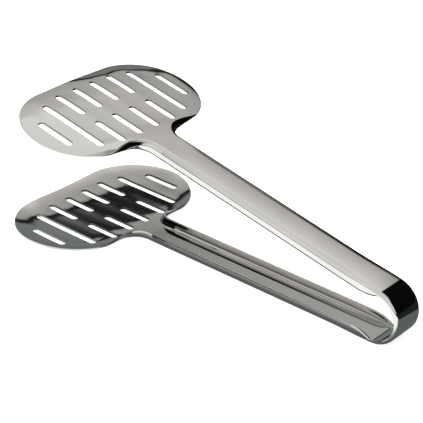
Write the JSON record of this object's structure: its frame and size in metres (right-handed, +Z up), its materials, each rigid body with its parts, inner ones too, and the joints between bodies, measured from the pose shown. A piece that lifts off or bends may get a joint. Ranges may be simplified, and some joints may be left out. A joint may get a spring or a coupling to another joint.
{
  "type": "burger tongs",
  "caption": "Sprung kitchen tongs of one bent stainless strip: two channel arms on a round bow, each ending in a wide slotted, dished head with a curled tip.",
  "frame": {"origin": "centre of the plan outline, on the surface that the tongs lie on", "axes": "+X along the lower arm, from the heads to the spring bow; +Z up, from the lower jaw to the upper jaw; Y across the heads"},
  "size_m": [0.2376, 0.1144, 0.0726],
  "materials": {
    "head_steel": "polished stainless sheet with a fine satin grain",
    "arm_steel": "polished stainless sheet with a fine satin grain",
    "bow_steel": "polished stainless sheet, drawn bright round the bow"
  },
  "bodies": {
    "lower_jaw": {"lower_head": "head_steel", "lower_arm": "arm_steel", "spring_bow": "bow_steel"},
    "upper_jaw": {"upper_arm": "arm_steel", "upper_head": "head_steel"}
  },
  "joints": [
    {"name": "bow_flex", "type": "hinge", "parent": "lower_jaw", "child": "upper_jaw", "pos_m": [0.11341, 0, 0.01427], "axis": [0, -1, 0], "range_deg": [-4, 16.5], "stiffness_Nm_per_rad": 8, "springref_deg": -0.94, "deforming": ["spring_bow"]}
  ]
}
